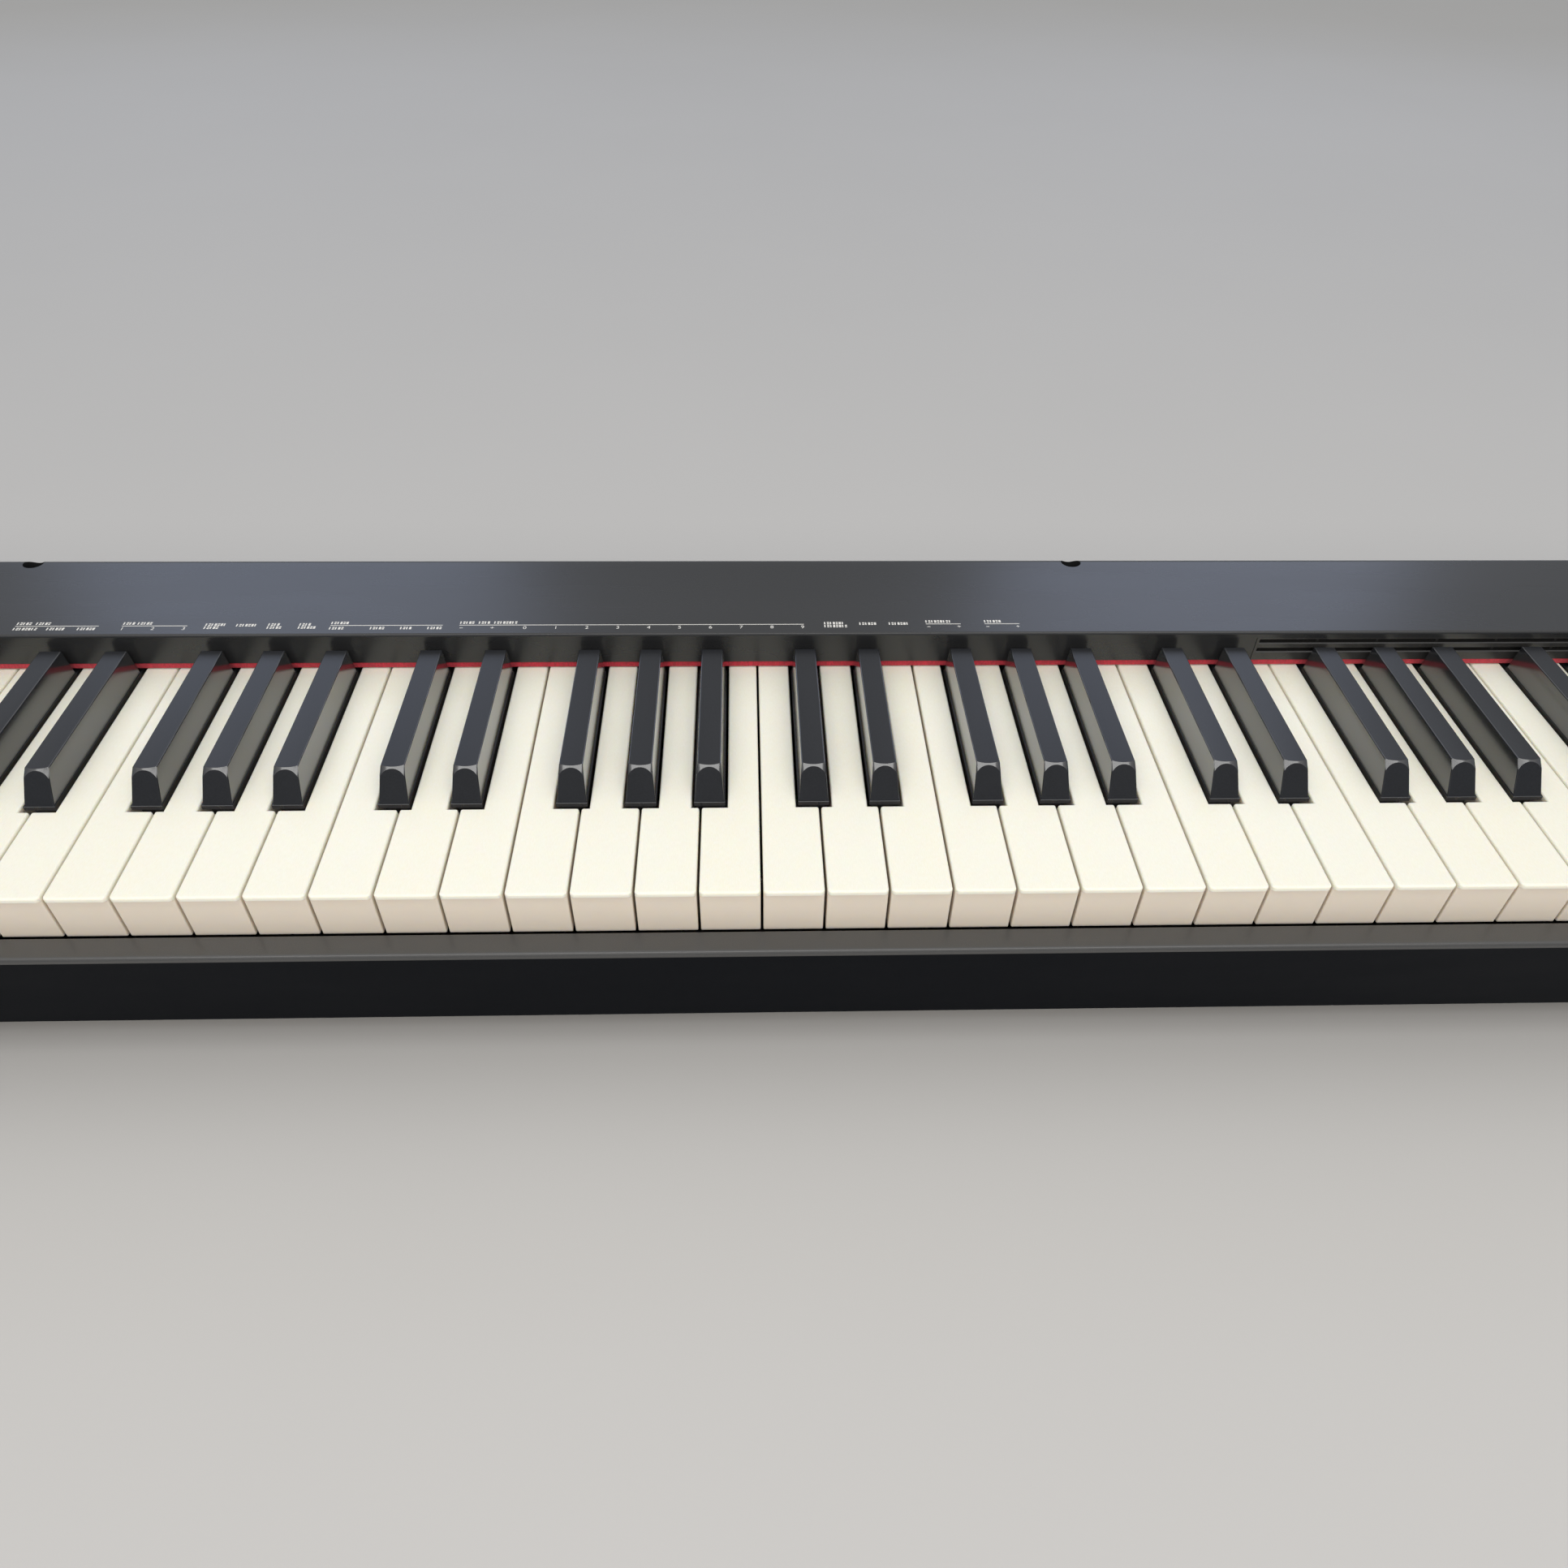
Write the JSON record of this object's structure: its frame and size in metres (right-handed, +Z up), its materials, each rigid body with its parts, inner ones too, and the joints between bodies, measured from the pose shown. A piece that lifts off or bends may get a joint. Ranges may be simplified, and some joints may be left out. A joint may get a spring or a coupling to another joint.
{
  "type": "digital piano",
  "caption": "Slim full-size digital piano resting on rubber feet: hinged weighted keys, top control panel, end blocks, sound slots, music rest holes and rear sockets.",
  "frame": {"origin": "middle of the footprint, on the plane that the rubber feet stand on", "axes": "+X towards the highest note, along the keyboard; +Y away from the player; +Z up"},
  "size_m": [1.322, 0.232, 0.1036],
  "materials": {
    "black_key": "fine-grained matt",
    "button": "satin",
    "case": "matt moulded",
    "circuit_board": "solder mask",
    "contact_spring": "nickel plate",
    "cover": "matt moulded",
    "foot_rubber": "matt",
    "frame_plastic": "moulded",
    "grey_felt": "felt",
    "grey_rubber": "silicone",
    "grille": "satin moulded",
    "hammer_steel": "coated",
    "insert_brass": "machined",
    "knob": "satin",
    "lamp": "clear lens",
    "panel": "satin moulded",
    "rail": "satin moulded",
    "red_felt": "felt",
    "rod_steel": "ground",
    "screw_steel": "black zinc",
    "socket_plastic": "moulded",
    "speaker": "paper cone in a pressed frame",
    "white_key": "satin ivory-like moulding"
  },
  "bodies": {
    "case": {"battery_contacts": "contact_spring", "black_keys_bass": "black_key", "black_keys_treble": "black_key", "case_screws": "screw_steel", "contact_board": "circuit_board", "contact_rubber": "grey_rubber", "end_block_left": "case", "end_block_right": "case", "felt_strip": "red_felt", "front_rail": "rail", "hammer_bank": "hammer_steel", "hammer_pivot_rod": "rod_steel", "hammer_stop_felt": "grey_felt", "key_frame": "frame_plastic", "key_pivot_rod": "rod_steel", "key_stop_felt": "grey_felt", "lower_case": "case", "main_board": "circuit_board", "panel_board": "circuit_board", "power_lamp": "lamp", "rear_sockets": "socket_plastic", "rubber_feet": "foot_rubber", "sound_grille_left": "grille", "sound_grille_right": "grille", "speaker_left": "speaker", "speaker_right": "speaker", "stand_inserts": "insert_brass", "top_panel": "panel", "white_keys_bass": "white_key", "white_keys_treble": "white_key"},
    "white_key_C4": {"white_key_C4": "white_key"},
    "black_key_C_sharp4": {"black_key_C_sharp4": "black_key"},
    "white_key_D4": {"white_key_D4": "white_key"},
    "black_key_D_sharp4": {"black_key_D_sharp4": "black_key"},
    "white_key_E4": {"white_key_E4": "white_key"},
    "white_key_F4": {"white_key_F4": "white_key"},
    "black_key_F_sharp4": {"black_key_F_sharp4": "black_key"},
    "white_key_G4": {"white_key_G4": "white_key"},
    "black_key_G_sharp4": {"black_key_G_sharp4": "black_key"},
    "white_key_A4": {"white_key_A4": "white_key"},
    "black_key_A_sharp4": {"black_key_A_sharp4": "black_key"},
    "white_key_B4": {"white_key_B4": "white_key"},
    "white_key_C5": {"white_key_C5": "white_key"},
    "black_key_C_sharp5": {"black_key_C_sharp5": "black_key"},
    "white_key_D5": {"white_key_D5": "white_key"},
    "black_key_D_sharp5": {"black_key_D_sharp5": "black_key"},
    "white_key_E5": {"white_key_E5": "white_key"},
    "white_key_F5": {"white_key_F5": "white_key"},
    "black_key_F_sharp5": {"black_key_F_sharp5": "black_key"},
    "white_key_G5": {"white_key_G5": "white_key"},
    "black_key_G_sharp5": {"black_key_G_sharp5": "black_key"},
    "white_key_A5": {"white_key_A5": "white_key"},
    "black_key_A_sharp5": {"black_key_A_sharp5": "black_key"},
    "white_key_B5": {"white_key_B5": "white_key"},
    "power_button": {"power_button": "button"},
    "function_button": {"function_button": "button"},
    "grand_piano_button": {"grand_piano_button": "button"},
    "electric_piano_button": {"electric_piano_button": "button"},
    "volume_slider": {"volume_slider": "knob"},
    "battery_cover": {"battery_cover": "cover"}
  },
  "joints": [
    {"name": "white_key_C4_hinge", "type": "hinge", "parent": "case", "child": "white_key_C4", "pos_m": [0, 0.098, 0.068], "axis": [1, 0, 0], "range_deg": [0, 2.86], "stiffness_Nm_per_rad": 0.5, "springref_deg": -13.75},
    {"name": "black_key_C_sharp4_hinge", "type": "hinge", "parent": "case", "child": "black_key_C_sharp4", "pos_m": [0, 0.098, 0.068], "axis": [1, 0, 0], "range_deg": [0, 2.86], "stiffness_Nm_per_rad": 0.5, "springref_deg": -13.75},
    {"name": "white_key_D4_hinge", "type": "hinge", "parent": "case", "child": "white_key_D4", "pos_m": [0, 0.098, 0.068], "axis": [1, 0, 0], "range_deg": [0, 2.86], "stiffness_Nm_per_rad": 0.5, "springref_deg": -13.75},
    {"name": "black_key_D_sharp4_hinge", "type": "hinge", "parent": "case", "child": "black_key_D_sharp4", "pos_m": [0, 0.098, 0.068], "axis": [1, 0, 0], "range_deg": [0, 2.86], "stiffness_Nm_per_rad": 0.5, "springref_deg": -13.75},
    {"name": "white_key_E4_hinge", "type": "hinge", "parent": "case", "child": "white_key_E4", "pos_m": [0, 0.098, 0.068], "axis": [1, 0, 0], "range_deg": [0, 2.86], "stiffness_Nm_per_rad": 0.5, "springref_deg": -13.75},
    {"name": "white_key_F4_hinge", "type": "hinge", "parent": "case", "child": "white_key_F4", "pos_m": [0, 0.098, 0.068], "axis": [1, 0, 0], "range_deg": [0, 2.86], "stiffness_Nm_per_rad": 0.5, "springref_deg": -13.75},
    {"name": "black_key_F_sharp4_hinge", "type": "hinge", "parent": "case", "child": "black_key_F_sharp4", "pos_m": [0, 0.098, 0.068], "axis": [1, 0, 0], "range_deg": [0, 2.86], "stiffness_Nm_per_rad": 0.5, "springref_deg": -13.75},
    {"name": "white_key_G4_hinge", "type": "hinge", "parent": "case", "child": "white_key_G4", "pos_m": [0, 0.098, 0.068], "axis": [1, 0, 0], "range_deg": [0, 2.86], "stiffness_Nm_per_rad": 0.5, "springref_deg": -13.75},
    {"name": "black_key_G_sharp4_hinge", "type": "hinge", "parent": "case", "child": "black_key_G_sharp4", "pos_m": [0, 0.098, 0.068], "axis": [1, 0, 0], "range_deg": [0, 2.86], "stiffness_Nm_per_rad": 0.5, "springref_deg": -13.75},
    {"name": "white_key_A4_hinge", "type": "hinge", "parent": "case", "child": "white_key_A4", "pos_m": [0, 0.098, 0.068], "axis": [1, 0, 0], "range_deg": [0, 2.86], "stiffness_Nm_per_rad": 0.5, "springref_deg": -13.75},
    {"name": "black_key_A_sharp4_hinge", "type": "hinge", "parent": "case", "child": "black_key_A_sharp4", "pos_m": [0, 0.098, 0.068], "axis": [1, 0, 0], "range_deg": [0, 2.86], "stiffness_Nm_per_rad": 0.5, "springref_deg": -13.75},
    {"name": "white_key_B4_hinge", "type": "hinge", "parent": "case", "child": "white_key_B4", "pos_m": [0, 0.098, 0.068], "axis": [1, 0, 0], "range_deg": [0, 2.86], "stiffness_Nm_per_rad": 0.5, "springref_deg": -13.75},
    {"name": "white_key_C5_hinge", "type": "hinge", "parent": "case", "child": "white_key_C5", "pos_m": [0, 0.098, 0.068], "axis": [1, 0, 0], "range_deg": [0, 2.86], "stiffness_Nm_per_rad": 0.5, "springref_deg": -13.75},
    {"name": "black_key_C_sharp5_hinge", "type": "hinge", "parent": "case", "child": "black_key_C_sharp5", "pos_m": [0, 0.098, 0.068], "axis": [1, 0, 0], "range_deg": [0, 2.86], "stiffness_Nm_per_rad": 0.5, "springref_deg": -13.75},
    {"name": "white_key_D5_hinge", "type": "hinge", "parent": "case", "child": "white_key_D5", "pos_m": [0, 0.098, 0.068], "axis": [1, 0, 0], "range_deg": [0, 2.86], "stiffness_Nm_per_rad": 0.5, "springref_deg": -13.75},
    {"name": "black_key_D_sharp5_hinge", "type": "hinge", "parent": "case", "child": "black_key_D_sharp5", "pos_m": [0, 0.098, 0.068], "axis": [1, 0, 0], "range_deg": [0, 2.86], "stiffness_Nm_per_rad": 0.5, "springref_deg": -13.75},
    {"name": "white_key_E5_hinge", "type": "hinge", "parent": "case", "child": "white_key_E5", "pos_m": [0, 0.098, 0.068], "axis": [1, 0, 0], "range_deg": [0, 2.86], "stiffness_Nm_per_rad": 0.5, "springref_deg": -13.75},
    {"name": "white_key_F5_hinge", "type": "hinge", "parent": "case", "child": "white_key_F5", "pos_m": [0, 0.098, 0.068], "axis": [1, 0, 0], "range_deg": [0, 2.86], "stiffness_Nm_per_rad": 0.5, "springref_deg": -13.75},
    {"name": "black_key_F_sharp5_hinge", "type": "hinge", "parent": "case", "child": "black_key_F_sharp5", "pos_m": [0, 0.098, 0.068], "axis": [1, 0, 0], "range_deg": [0, 2.86], "stiffness_Nm_per_rad": 0.5, "springref_deg": -13.75},
    {"name": "white_key_G5_hinge", "type": "hinge", "parent": "case", "child": "white_key_G5", "pos_m": [0, 0.098, 0.068], "axis": [1, 0, 0], "range_deg": [0, 2.86], "stiffness_Nm_per_rad": 0.5, "springref_deg": -13.75},
    {"name": "black_key_G_sharp5_hinge", "type": "hinge", "parent": "case", "child": "black_key_G_sharp5", "pos_m": [0, 0.098, 0.068], "axis": [1, 0, 0], "range_deg": [0, 2.86], "stiffness_Nm_per_rad": 0.5, "springref_deg": -13.75},
    {"name": "white_key_A5_hinge", "type": "hinge", "parent": "case", "child": "white_key_A5", "pos_m": [0, 0.098, 0.068], "axis": [1, 0, 0], "range_deg": [0, 2.86], "stiffness_Nm_per_rad": 0.5, "springref_deg": -13.75},
    {"name": "black_key_A_sharp5_hinge", "type": "hinge", "parent": "case", "child": "black_key_A_sharp5", "pos_m": [0, 0.098, 0.068], "axis": [1, 0, 0], "range_deg": [0, 2.86], "stiffness_Nm_per_rad": 0.5, "springref_deg": -13.75},
    {"name": "white_key_B5_hinge", "type": "hinge", "parent": "case", "child": "white_key_B5", "pos_m": [0, 0.098, 0.068], "axis": [1, 0, 0], "range_deg": [0, 2.86], "stiffness_Nm_per_rad": 0.5, "springref_deg": -13.75},
    {"name": "power_button_press", "type": "slide", "parent": "case", "child": "power_button", "axis": [0, 0, -1], "range_m": [0, 0.001], "stiffness_N_per_m": 400, "springref_m": -0.001},
    {"name": "function_button_press", "type": "slide", "parent": "case", "child": "function_button", "axis": [0, 0, -1], "range_m": [0, 0.001], "stiffness_N_per_m": 400, "springref_m": -0.001},
    {"name": "grand_piano_button_press", "type": "slide", "parent": "case", "child": "grand_piano_button", "axis": [0, 0, -1], "range_m": [0, 0.001], "stiffness_N_per_m": 400, "springref_m": -0.001},
    {"name": "electric_piano_button_press", "type": "slide", "parent": "case", "child": "electric_piano_button", "axis": [0, 0, -1], "range_m": [0, 0.001], "stiffness_N_per_m": 400, "springref_m": -0.001},
    {"name": "volume_slide", "type": "slide", "parent": "case", "child": "volume_slider", "axis": [1, 0, 0], "range_m": [-0.015, 0.015]},
    {"name": "battery_cover_pull", "type": "slide", "parent": "case", "child": "battery_cover", "axis": [0, 0, -1], "range_m": [0, 0.007]}
  ]
}
